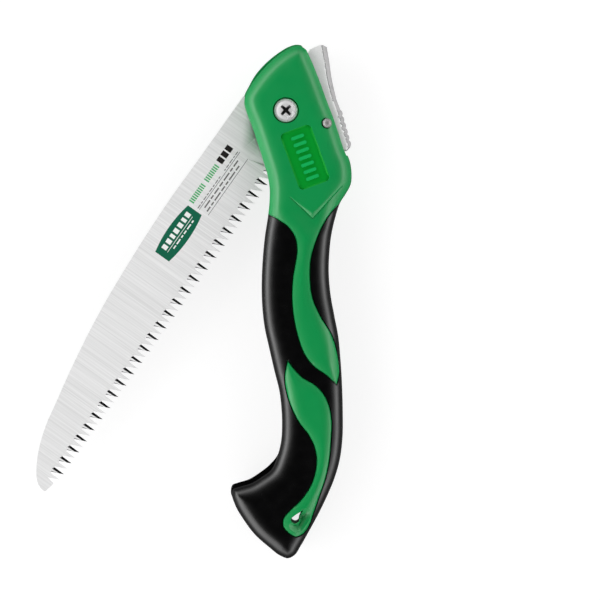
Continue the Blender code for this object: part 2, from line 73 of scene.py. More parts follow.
def turn(degrees):
    """The matrix that turns a point by that angle."""
    c, s = math.cos(math.radians(degrees)), math.sin(math.radians(degrees))
    return np.array([[c, -s], [s, c]])


HEAD_TURN, BLADE_TURN = turn(HEAD_BEARING), turn(BLADE_BEARING)
pin_middle = (pin_box[0] + pin_box[1]) / 2 - PIVOT
PIN = np.array([pin_middle.x, pin_middle.y]) / MM
PIN_IN_HEAD = PIN @ HEAD_TURN

# ---------------------------------------------------------------- outlines

# The handle's lines follow one another clockwise, seen from above.

NEAR_CROWN = [(-23, 8.5), (-20.3, 13.8), (-17.1, 18.3), (-12.1, 24.3), (-5.5, 30.6), (1.5, 35.3),
              (5.5, 36.8), (9, 36.6), (11.7, 34.8), (13.4, 31.5)]
FAR_CROWN = [(-23.6, 8.5), (-20.9, 14.6), (-17.2, 21), (-11.5, 27.5), (-4, 33.6), (1.6, 36.9),
             (5.5, 38.05), (9.2, 37.5), (11.9, 35.2), (13.4, 31.5)]
HEAD_BACK = [(17.5, 22), (22.5, 8.5), (28.5, -7.5), (33, -21.3), (35.7, -28), (36.65, -34.5), (36.2, -40.5),
             (33.2, -46.3)]
GRIP_BACK = [(30.5, -50.5), (27.4, -59.7), (25.3, -69), (24.1, -80), (23.8, -90), (24.7, -102), (27, -115),
             (29.1, -126), (30.3, -138), (31.3, -154), (31.7, -169), (31.5, -184), (30, -195.8),
             (27, -206.3), (22.5, -217), (17.6, -227), (12.7, -236), (7.8, -244.6)]
BUTT = [(4.6, -249.4), (1, -251), (-2.6, -249.8), (-9.6, -244.6), (-17.1, -238), (-23.7, -229.4),
        (-28.8, -220.4)]
NEAR_BEAK = [(-30.3, -215), (-29.6, -212.2), (-26.5, -211), (-19.6, -208.9), (-13.4, -205.2), (-8.4, -201.4)]
FAR_BEAK = [(-31.1, -213.3), (-30.2, -210.2), (-27.4, -209.1), (-20.8, -207), (-14.8, -203.3), (-9.4, -199)]
GRIP_FRONT = [(-4.6, -193), (-2.7, -185), (-2.2, -176), (-2.6, -166), (-3.6, -157.5), (-6.4, -146),
              (-9.5, -132.5), (-12.1, -120.5), (-13.4, -108), (-13.6, -95), (-13, -82.5), (-11.8, -70),
              (-9.9, -57.5)]
THROAT = [(-9.2, -50), (-9.2, -42.5), (-10.3, -36), (-12.9, -27.3), (-16, -17.5), (-19.2, -8), (-22, -1),
          (-23.3, 4)]
TAIL_LEFT = [(-60, -57, SHARP), (-10, -57.6, SHARP), (-4, -61.2), (2, -65.8), (5.4, -71.5), (6.3, -77.7),
             (5.3, -85.6), (4, -93.5), (3.5, -105.4), (4.7, -117.2), (7.2, -127.7), (10.5, -136.3),
             (15.9, -143.2), (22.2, -147.6), (26, -151)]
TAIL_RIGHT = [(28.4, -153.3, SHARP), (29.6, -148), (28.6, -136), (25.4, -125.2), (19.3, -115), (15, -105),
              (13.5, -93.5), (14.2, -82), (16.8, -73), (20.9, -63.7), (26.5, -55.4), (31.6, -50.1, SHARP),
              (60, -30, SHARP)]
ISLAND = [(1, -139.5, SHARP), (4.5, -144.4), (9.4, -149.3), (16, -153.2), (20.9, -158.3), (24.1, -165),
          (25.5, -173), (25.2, -185), (24, -197), (21.7, -207), (18.5, -216.3), (15.3, -225.5),
          (12.5, -232.8), (9.4, -236.8), (6, -238.3), (2, -236.4), (-1.5, -232.2), (-1.5, -228.8),
          (2.6, -223.4), (7.7, -218.6), (12.6, -212.2), (16, -204), (17.2, -195.7), (16, -188), (12.7, -181.3),
          (7.7, -174.7), (3.6, -167), (0.7, -158.3), (-0.6, -150)]
LANYARD_HOLE = [(9.9, -223.2, SHARP), (7.6, -227.6), (7.2, -229.6), (5.4, -230.9), (3.4, -230.2),
                (2.8, -228.2), (4.2, -226.8)]
LANYARD_DISH = [(9.4, -222.6), (12.3, -221.9), (13.9, -224.3), (13.4, -228.1), (11.1, -232.1), (8.6, -235.1),
                (6.1, -235.7), (2.0, -233.1), (1.8, -231.2), (4.6, -229.2)]
CHEVRON = [(1.8, -48.0), (15, -60.3), (32.8, -40.9)]
SLOT = [(-60, 60), (50, 60), (58, 12), (20.6, 2.6), (20.7, -4), (18.6, -18), (17.2, -31), (4.9, -251),
        (3.4, -262), (-60, -262)]
SCREWS = [(27.0, -33.0), (18.5, -84.0), (20.0, -128.0), (18.0, -164.0), (20.5, -192.0)]
BADGE_CENTRE, BADGE_SIZE = (28.3, 1.0), (33.5, 18.2)        # in the head's own X and Y
LEVER_POCKET = [(-46, 21.2), (6.4, 21.2), (9, 13.6), (20.4, 13.6), (23.2, 19.4), (35, 19.4), (36, 45),
                (-46, 45)]          # in the head's own X and Y
POCKET_HALF = 6.4

# ---------------------------------------------------------------- plane geometry


def smooth(points, step=1.0, closed=True):
    """A curve through the points, with a corner at each one marked SHARP, in steps of about that length."""
    spots = [np.array(p[:2], float) for p in points]
    sharp = [len(p) > 2 for p in points]
    count = len(spots)
    if not closed:
        sharp[0] = sharp[-1] = True

    def tangent(i):
        before, after = spots[i] - spots[i - 1], spots[(i + 1) % count] - spots[i]
        a, b = np.linalg.norm(before), np.linalg.norm(after)
        return (before / a * b + after / b * a) / (a + b)

    line = []
    for i in range(count if closed else count - 1):
        j = (i + 1) % count
        along = spots[j] - spots[i]
        length = np.linalg.norm(along)
        start = along if sharp[i] else tangent(i) * length
        end = along if sharp[j] else tangent(j) * length
        steps = max(1, round(length / step))
        for k in range(steps):
            t = k / steps
            line.append(spots[i] * (2 * t**3 - 3 * t**2 + 1) + start * (t**3 - 2 * t**2 + t)
                        + spots[j] * (3 * t**2 - 2 * t**3) + end * (t**3 - t**2))
    if not closed:
        line.append(spots[-1])
    return np.array(line)


def arc(centre, radius, first=0, last=360, count=48):
    """Points on a circle between two angles. A full circle has no point twice."""
    angles = np.radians(np.linspace(first, last, count, endpoint=(last - first) % 360 != 0))
    return np.array(centre) + radius * np.stack([np.cos(angles), np.sin(angles)], 1)


def rounded_rectangle(centre, size, corner, steps=6):
    """A rectangle whose corners are arcs of that radius."""
    line = []
    for quarter, (sx, sy) in enumerate(((1, 1), (-1, 1), (-1, -1), (1, -1))):
        middle = (centre[0] + sx * (size[0] / 2 - corner), centre[1] + sy * (size[1] / 2 - corner))
        line.append(arc(middle, corner, 90 * quarter, 90 * quarter + 89.99, steps + 1))
    return np.concatenate(line)


def distance(spots, line, closed=True):
    """How far each point is from a line of points."""
    starts, ends = (line, np.roll(line, -1, 0)) if closed else (line[:-1], line[1:])
    best = np.full(len(spots), 1e9)
    for a, b in zip(starts, ends):
        along = b - a
        size = along @ along
        if size < 1e-12:
            continue
        t = np.clip(((spots - a) @ along) / size, 0, 1)
        gap = spots - a - t[:, None] * along
        best = np.minimum(best, np.einsum("ij,ij->i", gap, gap))
    return np.sqrt(best)


def inside(spots, line):
    """Which points lie within a closed line."""
    found = np.zeros(len(spots), bool)
    x, y = spots[:, 0], spots[:, 1]
    for a, b in zip(line, np.roll(line, -1, 0)):
        if a[1] == b[1]:
            continue
        crosses = (a[1] > y) != (b[1] > y)
        found ^= crosses & (x < (b[0] - a[0]) * (y - a[1]) / (b[1] - a[1]) + a[0])
    return found


def beside(line, offset, closed=True):
    """Points at an offset to both sides of a line, leaving out those that its bends bring nearer."""
    ahead = np.roll(line, -1, 0) if closed else np.concatenate([line[1:], line[-1:]])
    behind = np.roll(line, 1, 0) if closed else np.concatenate([line[:1], line[:-1]])
    along = ahead - behind
    along /= np.maximum(np.linalg.norm(along, axis=1), 1e-9)[:, None]
    offset = np.broadcast_to(offset, len(line))
    across = np.stack([along[:, 1], -along[:, 0]], 1) * offset[:, None]
    both = np.concatenate([line + across, line - across])
    return both[distance(both, line, closed) > np.tile(offset, 2) * 0.97]


HEX_ROW = 0.866                     # the gap between the rows of an even triangular grid, over its spacing


def hex_grid(line, spacing):
    """An even triangular grid of points over the box round a line."""
    low, high = line.min(0), line.max(0)
    rows = []
    for k, y in enumerate(np.arange(low[1], high[1], spacing * HEX_ROW)):
        x = np.arange(low[0] + (k % 2) * spacing / 2, high[0], spacing)
        rows.append(np.stack([x, np.full(len(x), y)], 1))
    return np.concatenate(rows)


def thin(spots, least):
    """Leaves out points that share a small cell with an earlier one."""
    cells = np.round(spots / least).astype(int)
    _, first = np.unique(cells, axis=0, return_index=True)
    return spots[np.sort(first)]


def triangulate(spots, loops):
    """Triangles over all the points that keep every loop's edges. A loop is (points, closed)."""
    points, edges = [], []
    for line, closed in loops:
        start = len(points)
        points += list(line)
        edges += [(start + k, start + k + 1) for k in range(len(line) - 1)]
        if closed:
            edges.append((start + len(line) - 1, start))
    points += list(spots)
    verts, _, faces, _, _, _ = delaunay_2d_cdt([Vector(p) for p in points], edges, [], 0, 1e-5)
    return np.array([tuple(v) for v in verts]), np.array([tuple(f) for f in faces])


# ---------------------------------------------------------------- meshes


def nearest(spots, target):
    """The number of the point nearest to the target."""
    return int(np.argmin(((spots - target) ** 2).sum(1)))


def drop_loose(bm):
    """Removes the points that no face uses."""
    bmesh.ops.delete(bm, geom=[v for v in bm.verts if not v.link_faces], context="VERTS")


def to_world(spots, heights):
    """Places in metres in the row frame, from points round the pivot and their heights."""
    return np.column_stack([spots * MM, np.asarray(heights) * MM]) + np.array(PIVOT)


def make_object(name, bm, sharp=35):
    """An object made of a finished bmesh, with edges over that angle sharp."""
    bmesh.ops.recalc_face_normals(bm, faces=bm.faces)
    mesh = bpy.data.meshes.new(name)
    bm.to_mesh(mesh)
    bm.free()
    made = bpy.data.objects.new(name, mesh)
    bpy.context.scene.collection.objects.link(made)
    shade(made, sharp)
    return made


def shade(piece, sharp=35):
    piece.data.shade_smooth()
    piece.data.set_sharp_from_angle(angle=math.radians(sharp))


def solid(name, spots, triangles, tops, seam, outward):
    """Closes a curved face into a solid: side walls down to the seam, a small chamfer there and a flat."""
    bm = bmesh.new()
    used = np.unique(triangles)
    verts = {k: bm.verts.new(p) for k, p in zip(used, to_world(spots[used], tops[used]))}
    for face in triangles:
        bm.faces.new([verts[k] for k in face])
    chamfer_height, chamfer_inset = SEAM_CHAMFER
    for height, inset in ((seam + chamfer_height * outward, 0.0), (seam, chamfer_inset)):
        rim = [e for e in bm.edges if e.is_boundary]
        grown = bmesh.ops.extrude_edge_only(bm, edges=rim)["geom"]
        new = [g for g in grown if isinstance(g, bmesh.types.BMVert)]
        for vert in new:
            vert.co.z = height * MM
        bm.normal_update()
        for vert in new:
            flat = sum((Vector((f.normal.x, f.normal.y, 0)) for f in vert.link_faces), Vector())
            if flat.length > 1e-9:
                vert.co -= flat.normalized() * inset * MM
    bmesh.ops.triangle_fill(bm, edges=[e for e in bm.edges if e.is_boundary], use_beauty=True)
    return make_object(name, bm)


def prism(name, line, low, high):
    """A cutter or simple solid with a flat outline in the pivot's frame."""
    bm = bmesh.new()
    face = bm.faces.new([bm.verts.new(p) for p in to_world(np.asarray(line, float), [low] * len(line))])
    grown = bmesh.ops.extrude_face_region(bm, geom=[face])["geom"]
    bmesh.ops.translate(bm, verts=[g for g in grown if isinstance(g, bmesh.types.BMVert)],
                        vec=(0, 0, (high - low) * MM))
    return make_object(name, bm)


def cut(piece, tools, operation="DIFFERENCE", materials="INDEX"):
    """Cuts or joins for good, and removes the tools."""
    for tool in tools:
        boolean = piece.modifiers.new("cut", "BOOLEAN")
        boolean.operation, boolean.solver, boolean.object = operation, "EXACT", tool
        boolean.material_mode = materials
    bake(piece)
    for tool in tools:
        bpy.data.objects.remove(tool)
    shade(piece)


def bake(piece):
    """Applies the modifiers."""
    graph = bpy.context.evaluated_depsgraph_get()
    mesh = bpy.data.meshes.new_from_object(piece.evaluated_get(graph))
    piece.modifiers.clear()
    piece.data = mesh


def lathe(name, profile, centre=(0, 0), segments=96, sharp=30):
    """A turned solid about a vertical line: (radius, height) from its top centre down to its bottom centre."""
    bm = bmesh.new()
    rings = []
    for radius, height in profile:
        if radius == 0:
            rings.append([bm.verts.new(to_world(np.array([centre], float), [height])[0])])
        else:
            rings.append([bm.verts.new(p) for p in to_world(arc(centre, radius, count=segments),
                                                           [height] * segments)])
    hollow = profile[0][0] != 0
    for a, b in zip(rings, rings[1:] + (rings[:1] if hollow else [])):
        for k in range(segments):
            j = (k + 1) % segments
            corners = [a[k % len(a)], a[j % len(a)], b[j % len(b)], b[k % len(b)]]
            unique = list(dict.fromkeys(corners))
            if len(unique) > 2:
                bm.faces.new(unique)
    return make_object(name, bm, sharp)


def place(piece, body, node, *materials):
    """Rides a finished piece on its body, in place of its CAD node."""
    for made in materials:
        piece.data.materials.append(made)
    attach(piece, body)
    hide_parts(node)


# ---------------------------------------------------------------- materials

NOISE_RANGE = (0.3, 0.7)            # most of a noise's values lie between these


class Look:
    """A node material under construction."""

    def __init__(self, name, colour, roughness, metallic=0.0, specular=0.5):
        self.material = bpy.data.materials.new(name)
        self.material.use_nodes = True
        self.tree = self.material.node_tree
        self.shader = self.tree.nodes["Principled BSDF"]
        self.shader.inputs["Base Color"].default_value = (*colour, 1)
        self.shader.inputs["Roughness"].default_value = roughness
        self.shader.inputs["Metallic"].default_value = metallic
        self.shader.inputs["Specular IOR Level"].default_value = specular
        self.colour = colour
        self.coordinates = self.tree.nodes.new("ShaderNodeTexCoord").outputs["Object"]

    def noise(self, scale, stretch=(1, 1, 1), bearing=0.0, detail=4.0):
        """Noise over the object, squeezed along its axes, which are turned by the bearing."""
        mapping = self.tree.nodes.new("ShaderNodeMapping")
        mapping.vector_type = "TEXTURE"
        mapping.inputs["Rotation"].default_value = (0, 0, math.radians(bearing))
        mapping.inputs["Scale"].default_value = [1 / k for k in stretch]
        self.tree.links.new(self.coordinates, mapping.inputs["Vector"])
        noise = self.tree.nodes.new("ShaderNodeTexNoise")
        noise.inputs["Scale"].default_value = scale
        noise.inputs["Detail"].default_value = detail
        self.tree.links.new(mapping.outputs["Vector"], noise.inputs["Vector"])
        return noise.outputs["Fac"]

    def spread(self, source, low, high):
        """Spreads a noise over the values from low to high."""
        ramp = self.tree.nodes.new("ShaderNodeMapRange")
        for key, value in zip(("From Min", "From Max", "To Min", "To Max"), (*NOISE_RANGE, low, high)):
            ramp.inputs[key].default_value = value
        self.tree.links.new(source, ramp.inputs["Value"])
        return ramp.outputs["Result"]

    def vary_colour(self, source, low, high):
        """Multiplies the colour between two strengths."""
        mix = self.tree.nodes.new("ShaderNodeMix")
        mix.data_type = "RGBA"
        mix.inputs["A"].default_value = (*[c * low for c in self.colour], 1)
        mix.inputs["B"].default_value = (*[min(1, c * high) for c in self.colour], 1)
        self.tree.links.new(self.spread(source, 0, 1), mix.inputs["Factor"])
        self.tree.links.new(mix.outputs["Result"], self.shader.inputs["Base Color"])

    def vary_roughness(self, source, low, high):
        """Lets the roughness vary between two values."""
        self.tree.links.new(self.spread(source, low, high), self.shader.inputs["Roughness"])

    def bump(self, source, depth):
        """Relief of that depth in millimetres."""
        bump = self.tree.nodes.new("ShaderNodeBump")
        bump.inputs["Distance"].default_value = depth * MM
        self.tree.links.new(source, bump.inputs["Height"])
        self.tree.links.new(bump.outputs["Normal"], self.shader.inputs["Normal"])


def moulded(name, colour, roughness, grain, depth, specular):
    """Moulded plastic or ink: a fine grain, slow changes of colour and small changes of gloss."""
    look = Look(name, colour, roughness, 0, specular)
    look.vary_colour(look.noise(35), 0.96, 1.04)
    look.vary_roughness(look.noise(160), roughness - 0.03, roughness + 0.04)
    look.bump(look.noise(grain, detail=3), depth)
    return look.material


def metal(name, colour, roughness, metallic=1.0, stretch=(1, 1, 1), bearing=0.0, scale=900, depth=0.004,
          streak=(0.93, 1.05)):
    """Metal with a fine grain, drawn out into brushed streaks where it is stretched."""
    look = Look(name, colour, roughness, metallic)
    grain = look.noise(scale, stretch, bearing)
    look.vary_colour(grain, *streak)
    look.vary_roughness(look.noise(300, stretch, bearing), max(0.03, roughness - 0.06), roughness + 0.08)
    look.bump(grain, depth)
    return look.material


GREEN = moulded("moulded_green", (0.001, 0.262, 0.062), 0.38, 3200, 0.002, 0.5)
BADGE_GREEN = moulded("badge_green", (0.0005, 0.27, 0.022), 0.45, 3200, 0.004, 0.1)
MARK_GREEN = moulded("raised_mark_green", (0.004, 0.40, 0.09), 0.4, 3200, 0.004, 0.3)
BLACK = moulded("soft_black", (0.0012, 0.0012, 0.0013), 0.24, 2200, 0.0015, 0.5)
BLADE_STEEL = metal("brushed_blade", (0.86, 0.86, 0.86), 0.45, 0.12, (1, 0.012, 1), BLADE_BEARING, 1500, 0.003,
                    (0.87, 1.04))
# The teeth's bevel flanks are the blade's own steel, coloured darker as painted shade: near black on one flank
# and grey on the other.
TOOTH_FLANK_SHADE = moulded("flank_painted_shade", (0.004, 0.004, 0.005), 0.6, 1500, 0.002, 0.1)
TOOTH_GROUND_FLANK_SHADE = metal("ground_flank_painted_shade", (0.22, 0.22, 0.23), 0.45, 0.2, scale=1500)
DOMED = metal("domed_pin", (0.3, 0.295, 0.29), 0.5, 0.7, scale=500, depth=0.001)
PRINT_GREEN = moulded("printed_dark_green", (0.004, 0.115, 0.06), 0.5, 1200, 0.002, 0.2)
PRINT_BRIGHT = moulded("printed_bright_green", (0.05, 0.40, 0.13), 0.5, 1200, 0.002, 0.2)
PRINT_DARK = moulded("printed_black", (0.012, 0.010, 0.010), 0.5, 1200, 0.002, 0.2)
PRINT_GREY = moulded("printed_grey", (0.13, 0.125, 0.125), 0.55, 1200, 0.002, 0.2)
PRINT_WHITE = moulded("printed_white", (0.8, 0.82, 0.8), 0.55, 1200, 0.002, 0.2)
ALLOY = metal("satin_alloy", (0.88, 0.88, 0.88), 0.45, 0.1, scale=2200, depth=0.004)
# The lever's slanted back strip is the same alloy, coloured darker as painted shade for its rounded back turned
# away from the light.
ALLOY_BACK_SHADE = metal("alloy_back_painted_shade", (0.42, 0.415, 0.42), 0.5, 0.15, scale=1800, depth=0.006)
CHROME = metal("bright_chrome", (0.9, 0.89, 0.9), 0.22, 0.42, scale=500, depth=0.001, streak=(0.98, 1.02))
# Near-black colour for the driver recesses: painted shade in the hollow.
RECESS_PAINTED_SHADE = metal("recess_shade", (0.06, 0.06, 0.062), 0.35, 0.5, scale=500, depth=0.002)
STEEL = metal("bright_steel", (0.62, 0.62, 0.63), 0.3, 0.6)
BRONZE = metal("bronze", (0.52, 0.31, 0.13), 0.35, 0.7)
BRASS = metal("brass", (0.70, 0.50, 0.18), 0.3, 0.7)

# ---------------------------------------------------------------- handle

BADGE = rounded_rectangle(BADGE_CENTRE, BADGE_SIZE, 2.2) @ HEAD_TURN.T
HOLE = smooth(LANYARD_HOLE, 0.5)
DISH = smooth(LANYARD_DISH, 0.6, closed=False)
GREEN_EDGE = smooth(TAIL_LEFT + TAIL_RIGHT, 0.9, closed=False)
GREEN_HEAD = np.concatenate([GREEN_EDGE, [(60, 60), (-60, 60)]])
ISLAND_EDGE = smooth(ISLAND, 0.9)
GREEN_LINES = [(GREEN_EDGE, False), (ISLAND_EDGE, True)]
GRID_STEP, GRID_MARGIN, GRID_PASSES = 0.6, 4, 10       # the softened grid under the dome
DOME_BLEND = (2.5, 6.0)             # how far in the softened grid starts to count, and over what width
GROOVE_DEPTH, GROOVE_HALF, GROOVE_WALL = 0.85, 0.18, 0.34
GROOVE_ROWS = (0.18, 0.35, 0.52)    # rows of points beside a groove's line, which shape its walls
INLAY_RISE, INLAY_SWELL = 1.2, 6.5  # an inlay's height, and how far in from its edge it swells
INLAY_FADE = 6.0                    # how far in from the rim it reaches its full height
CHEVRON_DEPTH, CHEVRON_SLOPE, CHEVRON_FADE = 1.5, 0.66, 11.0
CHEVRON_LINE = 0.3                  # the depth and half width of the line along it
BADGE_DEPTH, BADGE_WALL = 0.6, 0.22
DISH_SLOPE, DISH_DEPTH = 1.1, 4.5
DISH_RIDGE, DISH_RIDGE_ACROSS = (5.8, -231.1), (0.89, 0.455)
BOLT_SINK, PIN_SINK, SCREW_SINK = (7.3, 8.4), (3.2, 11.2), (3.2, 8.9)   # radius, floor over the middle


def ease(value):
    """A smooth step from 0 to 1."""
    value = np.clip(value, 0, 1)
    return value * value * (3 - 2 * value)


def base_dome(spots, silhouette, edge):
    """The half's smooth swell from its rim to its face. Away from the rim it comes from a softened grid."""
    def swell(depth):
        return RIM + RISE * np.sqrt(np.maximum(1 - (1 - np.clip(depth / EDGE_WIDTH, 0, 1)) ** 2, 0))

    low = silhouette.min(0) - GRID_MARGIN
    columns, rows = np.ceil((silhouette.max(0) + GRID_MARGIN - low) / GRID_STEP).astype(int)
    x, y = np.meshgrid(np.arange(columns), np.arange(rows))
    grid = np.stack([x.ravel(), y.ravel()], 1) * GRID_STEP + low
    soft = swell(distance(grid, silhouette) * inside(grid, silhouette)).reshape(rows, columns)
    for _ in range(GRID_PASSES):
        soft = (np.roll(soft, 1, 0) + 2 * soft + np.roll(soft, -1, 0)) / 4
        soft = (np.roll(soft, 1, 1) + 2 * soft + np.roll(soft, -1, 1)) / 4
    at = (spots - low) / GRID_STEP
    cell = np.clip(at.astype(int), 0, (columns - 2, rows - 2))
    fx, fy = (at - cell).T
    cx, cy = cell.T
    softened = ((soft[cy, cx] * (1 - fx) + soft[cy, cx + 1] * fx) * (1 - fy)
                + (soft[cy + 1, cx] * (1 - fx) + soft[cy + 1, cx + 1] * fx) * fy)
    share = ease((edge - DOME_BLEND[0]) / DOME_BLEND[1])
    return swell(edge) * (1 - share) + softened * share


def groove(spots, line, closed):
    """A steep-sided groove along a line."""
    return GROOVE_DEPTH * (1 - ease((distance(spots, line, closed) - GROOVE_HALF) / GROOVE_WALL))


def chevron_relief(spots):
    """The V at the head's foot. The face ends in a chamfer, and the face beyond lies lower and rises away."""
    left, tip, right = (np.array(p, float) for p in CHEVRON)
    gap, share = np.full(len(spots), 1e9), np.zeros(len(spots))
    within = np.ones(len(spots), bool)
    for start in (left, right):
        along = tip - start
        length = np.linalg.norm(along)
        along /= length
        inward = np.array([-along[1], along[0]])
        if inward[1] < 0:
            inward = -inward
        t = np.clip((spots - start) @ along / length, 0, 1)
        away = np.linalg.norm(spots - start - t[:, None] * along * length, axis=1)
        share = np.where(away < gap, t, share)
        gap = np.minimum(gap, away)
        within &= (spots - start) @ inward > 0
    deep = CHEVRON_DEPTH * share
    chamfer = np.clip(deep - gap * CHEVRON_SLOPE, 0, None)
    beyond = deep * ease(1 - gap / CHEVRON_FADE)
    line = CHEVRON_LINE * ease(share / 0.1) * np.clip(1 - gap / CHEVRON_LINE, 0, 1)
    return np.where(within, chamfer, beyond) + line


def dish_relief(spots):
    """The lanyard hole's sunk corner: two slopes down to the hole, parted by a low ridge."""
    depth = np.where(inside(spots, DISH), distance(spots, DISH, False), 0)
    off_ridge = np.abs((spots - DISH_RIDGE) @ np.array(DISH_RIDGE_ACROSS))
    below_hole = ease((-230.5 - spots[:, 1]) / 0.6)
    ridge = 0.7 * np.clip(1 - off_ridge / 0.6, 0, 1) * below_hole * ease(depth / 0.8)
    return np.minimum(depth * DISH_SLOPE, DISH_DEPTH) - ridge


def inlay_swell(spots, line):
    """How far the hard inlay rises in its middle."""
    depth = np.where(inside(spots, line), distance(spots, line), 0)
    return INLAY_RISE * (1 - (1 - np.clip(depth / INLAY_SWELL, 0, 1)) ** 2)


def badge_marks():
    """The outlines of the plain raised bars across the badge."""
    x, y = BADGE_CENTRE
    return [rounded_rectangle((x + shift, y), (1.9, 7.6), 0.9, 4) @ HEAD_TURN.T for shift in range(-12, 13, 4)]


def sinks(up):
    """The round sinks of one side: each one's centre, and its radius and floor."""
    found = [((0, 0), BOLT_SINK), (tuple(PIN), PIN_SINK)]
    return found if up > 0 else found + [(spot, SCREW_SINK) for spot in SCREWS]


def face_points(silhouette, up):
    """The points of one side's face, in rows beside its lines and an even grid, and the lines it keeps."""
    fine = [beside(silhouette, d) for d in (0.12, 0.4, 0.8)]
    clear = [(silhouette, True, 1.15)]
    for line, closed in GREEN_LINES:
        fine += [beside(line, d, closed) for d in GROOVE_ROWS]
        clear.append((line, closed, 0.85))
    fine += [DISH, beside(DISH, 0.3, False), beside(HOLE, 0.4)]
    clear += [(HOLE, True, 0.7), (DISH, False, 0.6)]
    for corner in (ISLAND[0], TAIL_RIGHT[0]):
        fine += [arc(corner[:2], d, count=14) for d in GROOVE_ROWS]
    loops = [(silhouette, True), *GREEN_LINES, (HOLE, True)]
    if up > 0:
        v = smooth([(*p, SHARP) for p in CHEVRON], 0.5, closed=False)
        fine += [v] + [beside(v, d, False) for d in (0.25, 0.5)]
        fine += [beside(BADGE, d) for d in (BADGE_WALL, 0.5)]
        clear += [(v, False, 0.75), (BADGE, True, 0.75)]
        loops.append((BADGE, True))
    for centre, (radius, _) in sinks(up):
        loops += [(arc(centre, r, count=64), True) for r in (radius, radius - 0.06)]
        clear.append((arc(centre, radius, count=64), True, 0.5))
    grid = hex_grid(silhouette, 0.8)
    grid = grid[inside(grid, silhouette)]
    for line, closed, least in clear:
        grid = grid[distance(grid, line, closed) > least]
    spots = thin(np.concatenate(fine), 0.14)
    spots = spots[inside(spots, silhouette)]
    spots = spots[distance(spots, silhouette) > 0.1]
    return np.concatenate([spots, grid]), loops


def face_heights(spots, silhouette, up):
    """How high the face lies over the middle plane at each point."""
    edge = distance(spots, silhouette)
    edge[~inside(spots, silhouette)] = 0
    inlays = np.maximum(inlay_swell(spots, GREEN_HEAD), inlay_swell(spots, ISLAND_EDGE))
    heights = base_dome(spots, silhouette, edge)
    heights += inlays * ease(edge / INLAY_FADE) - INLAY_RISE
    for line, closed in GREEN_LINES:
        heights -= groove(spots, line, closed)
    heights -= dish_relief(spots)
    if up > 0:
        heights -= chevron_relief(spots)
        in_badge = np.where(inside(spots, BADGE), distance(spots, BADGE), 0)
        heights -= BADGE_DEPTH * ease(in_badge / BADGE_WALL)
    for centre, (radius, level) in sinks(up):
        low = np.linalg.norm(spots - np.array(centre), axis=1) < radius - 0.02
        heights[low] = np.minimum(heights[low], level)
    return heights


def make_half(side, up, silhouette):
    """One side's hard shell and soft grip, as one curved face split along the boundary between them."""
    verts, triangles = triangulate(*face_points(silhouette, up))
    centres = verts[triangles].mean(1)
    triangles = triangles[inside(centres, silhouette) & ~inside(centres, HOLE)]
    heights = face_heights(verts, silhouette, up)
    centres = verts[triangles].mean(1)
    green = inside(centres, GREEN_HEAD) | inside(centres, ISLAND_EDGE)
    made = []
    for kind, chosen in (("shell", green), ("grip", ~green)):
        piece = solid(f"{side}_{kind}_face", verts, triangles[chosen], MID + up * heights, MID + up * SEAM, up)
        cut(piece, [prism("slot", SLOT, MID - SLOT_HALF, MID + SLOT_HALF)])
        made.append(piece)
    return made


def handle_outline(crown, beak):
    """One side's silhouette. The two sides differ only at the crown and the beak."""
    return smooth(crown + HEAD_BACK + GRIP_BACK + BUTT + beak + GRIP_FRONT + THROAT, 0.8)


def lever_pocket():
    """The cutter for the lever's pocket in the head's back."""
    return prism("pocket", np.array(LEVER_POCKET) @ HEAD_TURN.T, MID - POCKET_HALF, MID + POCKET_HALF)


def colour_badge(shell):
    """Gives the badge's floor its own green."""
    shell.data.materials.append(BADGE_GREEN)
    mesh = shell.data
    centres = np.array([tuple(f.center) for f in mesh.polygons])
    flat = (centres[:, :2] - np.array(PIVOT)[:2]) / MM
    on_top = centres[:, 2] > 0.8 * THICKNESS * MM
    chosen = inside(flat, BADGE) & (distance(flat, BADGE) > 0.2) & on_top
    mesh.polygons.foreach_set("material_index", chosen.astype(np.int32))


for side, up, crown, beak in (("near", 1, NEAR_CROWN, NEAR_BEAK), ("far", -1, FAR_CROWN, FAR_BEAK)):
    shell, grip = make_half(side, up, handle_outline(crown, beak))
    cut(shell, [lever_pocket()])
    place(shell, "handle", f"{side}_shell", GREEN)
    place(grip, "handle", f"{side}_grip", BLACK)
    if up > 0:
        colour_badge(shell)

for number, mark in enumerate(badge_marks(), 1):
    bar = prism(f"badge_bar_{number}", mark, THICKNESS - 1.0, THICKNESS - 0.1)
    bar.data.materials.append(MARK_GREEN)
    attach(bar, "handle")

# ---------------------------------------------------------------- blade

# Places on the blade: X from the pivot to the tip, Y toward the teeth.
BLADE_HALF, BUSH_HOLE = 0.6, 5.3
TOOTH_LINE, TOOTH_HEIGHT, TOOTH_COUNT, FIRST_TOOTH = 15.5, 6.6, 54, 31.0
PITCH_AT_HANDLE, PITCH_AT_TIP = 4.25, 3.72
BLADE_LENGTH, SPINE_LINE = 253.0, -24.7
ROOT_SPINE = [(-2, -21), (0.3, -24.6)]
NOTCH = [(2, SPINE_LINE), (2, -22.4), (6.4, -22.4), (6.4, SPINE_LINE)]
SPINE_CURVE = [(50, -24.9, SHARP), (78, -25.1), (105, -24.3), (125, -23.1), (145, -21.6), (164, -19.4),
               (183, -16.4), (207, -11.8), (225, -8.0), (236, -4), (246, 1.5), (250.5, 5.2),
               (BLADE_LENGTH - 0.2, 9.6), (BLADE_LENGTH, 12.4, SHARP), (246.6, 13.8, SHARP)]
HEEL = [(22, TOOTH_LINE - 1.0), (8, 17.4), (2.4, 18.7), (-1.0, 19)]
BLADE_LOOKS = {"steel": BLADE_STEEL, "shaded flank": TOOTH_FLANK_SHADE, "ground flank": TOOTH_GROUND_FLANK_SHADE,
               "dark green": PRINT_GREEN, "bright green": PRINT_BRIGHT, "black": PRINT_DARK,
               "grey": PRINT_GREY, "white": PRINT_WHITE}
PANEL_CENTRE, PANEL_HALF_LENGTH = (90.8, -10.0), 16
PANEL_HALF_HEIGHT, PANEL_BULGE = 4.75, 1.7


